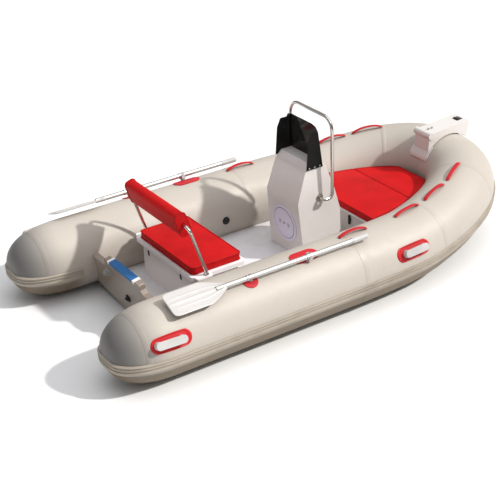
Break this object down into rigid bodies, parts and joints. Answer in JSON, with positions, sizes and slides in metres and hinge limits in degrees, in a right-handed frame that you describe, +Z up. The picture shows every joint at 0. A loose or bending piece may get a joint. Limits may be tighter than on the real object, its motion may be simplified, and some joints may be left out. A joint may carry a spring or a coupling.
{
  "type": "rigid inflatable boat",
  "caption": "Small rigid-hull inflatable boat with a U-shaped tube, V hull, centre console with windscreen and grab rail, hinged seat, bow locker and two stowed oars.",
  "frame": {"origin": "middle of the boat's overall box, on the ground under the tubes", "axes": "+X to the bow, +Y to port, +Z up"},
  "size_m": [3.1902, 1.7228, 1.035],
  "materials": {
    "hypalon": "satin coated fabric",
    "seam_tape": "matt",
    "strake_rubber": "matt ribbed",
    "gelcoat": "glossy",
    "deck": "satin",
    "white_plastic": "satin",
    "hatch_ring": "satin",
    "blue_plastic": "satin",
    "black_rubber": "matt",
    "black_plastic": "matt",
    "grey_plastic": "matt",
    "red_vinyl": "satin",
    "red_rubber": "matt",
    "stainless": "polished",
    "oar_alloy": "satin",
    "smoked": "polished"
  },
  "bodies": {
    "boat": {"port_tube": "hypalon", "starboard_tube": "hypalon", "bow_tube": "hypalon", "chamber_baffles": "seam_tape", "port_strake": "strake_rubber", "starboard_strake": "strake_rubber", "bow_strake": "strake_rubber", "hull_shell": "gelcoat", "deck_liner": "deck", "transom": "gelcoat", "motor_pad": "blue_plastic", "cable_boot": "black_rubber", "drain_bush": "black_plastic", "seat_box": "gelcoat", "seat_vents": "black_plastic", "seat_hinge_base": "stainless", "seat_hinge_pins": "stainless", "console_shell": "gelcoat", "hatch_ring": "hatch_ring", "windscreen": "smoked", "windscreen_screws": "stainless", "grab_rail": "stainless", "rail_flanges": "stainless", "bow_locker": "gelcoat", "bow_cushion_fwd": "red_vinyl", "latch_base": "black_plastic", "bow_step": "gelcoat", "roller_pin": "stainless", "bow_step_bolts": "stainless", "valve_bodies": "black_plastic", "grab_handles": "red_rubber", "lifting_patches": "red_rubber", "lifting_grips": "grey_plastic", "rowlock_pads": "red_rubber", "oar_rests": "red_rubber"},
    "seat_lid": {"seat_lid": "white_plastic", "seat_hinge_leaves": "stainless", "seat_cushion": "red_vinyl", "backrest_brackets": "white_plastic", "backrest_pins": "stainless"},
    "backrest": {"backrest_frame": "stainless", "backrest_pad": "red_vinyl"},
    "hatch_cover": {"hatch_cover": "white_plastic"},
    "locker_lid": {"bow_locker_lid": "white_plastic", "bow_cushion_aft": "red_vinyl"},
    "locker_latch": {"locker_latch": "black_plastic"},
    "bow_roller": {"bow_roller": "black_rubber"},
    "drain_plug": {"drain_plug": "black_plastic"},
    "port_valve_cap": {"port_valve_cap": "black_plastic"},
    "starboard_valve_cap": {"starboard_valve_cap": "black_plastic"},
    "bow_valve_cap": {"bow_valve_cap": "black_plastic"},
    "port_oar": {"port_rowlock": "grey_plastic", "port_oar_shaft": "oar_alloy", "port_oar_blade": "white_plastic", "port_oar_grip": "grey_plastic"},
    "starboard_oar": {"starboard_rowlock": "grey_plastic", "starboard_oar_shaft": "oar_alloy", "starboard_oar_blade": "white_plastic", "starboard_oar_grip": "grey_plastic"}
  },
  "joints": [
    {"name": "seat_lid_hinge", "type": "hinge", "parent": "boat", "child": "seat_lid", "pos_m": [-0.49108, 0, 0.329], "axis": [0, 1, 0], "range_deg": [0, 80]},
    {"name": "backrest_fold", "type": "hinge", "parent": "seat_lid", "child": "backrest", "pos_m": [-0.76408, 0, 0.361], "axis": [0, 1, 0], "range_deg": [0, 85]},
    {"name": "hatch_turn", "type": "hinge", "parent": "boat", "child": "hatch_cover", "pos_m": [0.04675, 0, 0.30331], "axis": [-0.9966, 0, -0.0828], "range_deg": [0, 90]},
    {"name": "locker_lid_hinge", "type": "hinge", "parent": "boat", "child": "locker_lid", "pos_m": [0.8309, 0, 0.358], "axis": [0, 1, 0], "range_deg": [0, 75]},
    {"name": "latch_turn", "type": "hinge", "parent": "boat", "child": "locker_latch", "pos_m": [0.45842, -0.135, 0.25], "axis": [-1, 0, 0], "range_deg": [0, 90]},
    {"name": "drain_turn", "type": "hinge", "parent": "boat", "child": "drain_plug", "pos_m": [-1.11673, 0, 0.14593], "axis": [-0.9829, 0, -0.184], "range_deg": [0, 90]},
    {"name": "port_valve_turn", "type": "hinge", "parent": "boat", "child": "port_valve_cap", "pos_m": [-0.15808, 0.3782, 0.225], "axis": [0, -1, 0], "range_deg": [0, 90]},
    {"name": "starboard_valve_turn", "type": "hinge", "parent": "boat", "child": "starboard_valve_cap", "pos_m": [-0.15808, -0.3782, 0.225], "axis": [0, 1, 0], "range_deg": [0, 90]},
    {"name": "bow_valve_turn", "type": "hinge", "parent": "boat", "child": "bow_valve_cap", "pos_m": [0.25427, -0.37507, 0.225], "axis": [-0.0333, 0.9994, 0], "range_deg": [0, 90]},
    {"name": "roller_spin", "type": "hinge", "parent": "boat", "child": "bow_roller", "pos_m": [1.48892, 0, 0.636], "axis": [0, 1, 0], "continuous": true},
    {"name": "port_oar_swing", "type": "hinge", "parent": "boat", "child": "port_oar", "pos_m": [-0.28408, 0.70871, 0.46931], "axis": [0, -0.3746, -0.9272], "range_deg": [0, 105]},
    {"name": "starboard_oar_swing", "type": "hinge", "parent": "boat", "child": "starboard_oar", "pos_m": [-0.28408, -0.70871, 0.46931], "axis": [0, -0.3746, 0.9272], "range_deg": [0, 105]}
  ]
}
